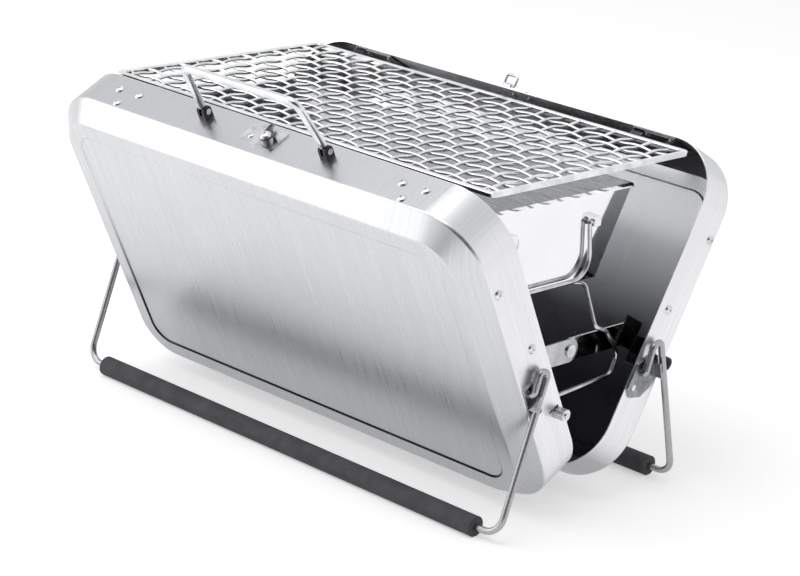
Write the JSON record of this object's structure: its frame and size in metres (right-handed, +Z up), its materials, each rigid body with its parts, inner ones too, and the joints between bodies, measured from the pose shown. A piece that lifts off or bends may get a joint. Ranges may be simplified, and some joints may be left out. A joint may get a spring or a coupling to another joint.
{
  "type": "briefcase grill",
  "caption": "Folding tabletop charcoal grill: two hinged steel half cases opened as a V on wire stands, with a hung charcoal tray and a mesh grid.",
  "frame": {"origin": "on the table, under the middle of the whole object with its handle; the hinge line is 5.4 mm behind it", "axes": "+X along the case to the end seen in the picture, -Y to the half with the handle, +Z up"},
  "size_m": [0.439, 0.3209, 0.2874],
  "materials": {
    "brushed_stainless": "brushed along its length",
    "stainless_rivet": "polished dome heads",
    "hinge_steel": "plain pressed sheet",
    "stand_wire": "satin drawn wire",
    "foam": "matt foam sleeve",
    "bracket_steel": "bright plated sheet",
    "handle_steel": "polished round bar",
    "black_plastic": "moulded",
    "latch_steel": "darkened",
    "bright_wire": "bright drawn wire",
    "grid_chrome": "chrome plated mesh",
    "polished_stainless": "mirror polished",
    "rubber": "moulded"
  },
  "bodies": {
    "front_half": {"front_shell": "brushed_stainless", "front_wall_rivets": "stainless_rivet", "front_rest_rivets": "stainless_rivet", "front_hinge_rivets": "stainless_rivet", "front_hinge_leaves": "hinge_steel", "hinge_pins": "hinge_steel", "front_grid_rests": "hinge_steel", "front_stand_brackets": "bracket_steel", "front_bracket_rivets": "stainless_rivet", "handle_mounts": "black_plastic", "handle_pins": "handle_steel", "latch_plate": "bracket_steel", "latch_rivets": "stainless_rivet", "front_stay_brackets": "hinge_steel"},
    "rear_half": {"rear_shell": "brushed_stainless", "rear_wall_rivets": "stainless_rivet", "rear_rest_rivets": "stainless_rivet", "rear_hinge_rivets": "stainless_rivet", "rear_hinge_leaves": "hinge_steel", "rear_grid_rests": "hinge_steel", "rear_stand_brackets": "bracket_steel", "rear_bracket_rivets": "stainless_rivet", "catch_plate": "bracket_steel", "catch_rivets": "stainless_rivet", "rear_stay_brackets": "hinge_steel", "rear_bumpers": "rubber"},
    "front_stand": {"front_stand_wire": "stand_wire", "front_foot_sleeve": "foam"},
    "rear_stand": {"rear_stand_wire": "stand_wire", "rear_foot_sleeve": "foam"},
    "handle": {"handle_bar": "handle_steel"},
    "latch": {"latch_lever": "latch_steel"},
    "catch": {"catch_loop": "bright_wire"},
    "front_stay": {"front_stay_links": "polished_stainless", "stay_middle_rivets": "polished_stainless"},
    "rear_stay": {"rear_stay_links": "polished_stainless"},
    "cradle": {"tray_cradle": "bright_wire", "cradle_knobs": "bright_wire"},
    "tray": {"charcoal_tray": "polished_stainless", "bail_clips": "bright_wire"},
    "right_bail": {"right_tray_bail": "bright_wire"},
    "left_bail": {"left_tray_bail": "bright_wire"},
    "grid": {"grid_frame": "grid_chrome", "grid_mesh": "grid_chrome"}
  },
  "joints": [
    {"name": "case_fold", "type": "hinge", "parent": "front_half", "child": "rear_half", "pos_m": [0, 0.0054, 0.0215], "axis": [1, 0, 0], "range_deg": [0, 56]},
    {"name": "front_stand_fold", "type": "hinge", "parent": "front_half", "child": "front_stand", "pos_m": [0, -0.06885, 0.10513], "axis": [1, 0, 0], "range_deg": [0, 26]},
    {"name": "rear_stand_fold", "type": "hinge", "parent": "rear_half", "child": "rear_stand", "pos_m": [0, 0.05614, 0.09498], "axis": [-1, 0, 0], "range_deg": [0, 30]},
    {"name": "handle_swing", "type": "hinge", "parent": "front_half", "child": "handle", "pos_m": [0, -0.13035, 0.24911], "axis": [1, 0, 0], "range_deg": [-60, 80]},
    {"name": "latch_turn", "type": "hinge", "parent": "front_half", "child": "latch", "pos_m": [0.006, -0.1332, 0.24533], "axis": [0, -0.4695, 0.8829], "range_deg": [0, 80]},
    {"name": "catch_swing", "type": "hinge", "parent": "rear_half", "child": "catch", "pos_m": [0, 0.13275, 0.24973], "axis": [1, 0, 0], "range_deg": [0, 90]},
    {"name": "tray_lift", "type": "slide", "parent": "front_half", "child": "tray", "axis": [0, 0, 1], "range_m": [0, 0.392]},
    {"name": "cradle_swing", "type": "hinge", "parent": "front_half", "child": "cradle", "pos_m": [0, -0.03523, 0.0845], "axis": [1, 0, 0], "range_deg": [0, 80]},
    {"name": "front_stay_fold", "type": "hinge", "parent": "front_half", "child": "front_stay", "pos_m": [0, -0.06214, 0.1138], "axis": [-1, 0, 0], "range_deg": [0, 49]},
    {"name": "rear_stay_fold", "type": "hinge", "parent": "rear_half", "child": "rear_stay", "pos_m": [0, 0.07294, 0.1138], "axis": [1, 0, 0], "range_deg": [0, 49]},
    {"name": "right_bail_swing", "type": "hinge", "parent": "tray", "child": "right_bail", "pos_m": [0.1754, -0.0161, 0.204], "axis": [0, -1, 0], "range_deg": [0, 90]},
    {"name": "left_bail_swing", "type": "hinge", "parent": "tray", "child": "left_bail", "pos_m": [-0.1754, -0.0161, 0.204], "axis": [0, 1, 0], "range_deg": [0, 90]},
    {"name": "grid_lift", "type": "slide", "parent": "tray", "child": "grid", "axis": [0, 0, 1], "range_m": [0, 0.15]}
  ],
  "couplings": [
    {"joint": "tray_lift", "follows": "case_fold", "m_per_rad": 0.40107},
    {"joint": "cradle_swing", "follows": "case_fold", "ratio": 1.41},
    {"joint": "front_stay_fold", "follows": "case_fold", "ratio": 0.857},
    {"joint": "rear_stay_fold", "follows": "case_fold", "ratio": 0.857}
  ]
}
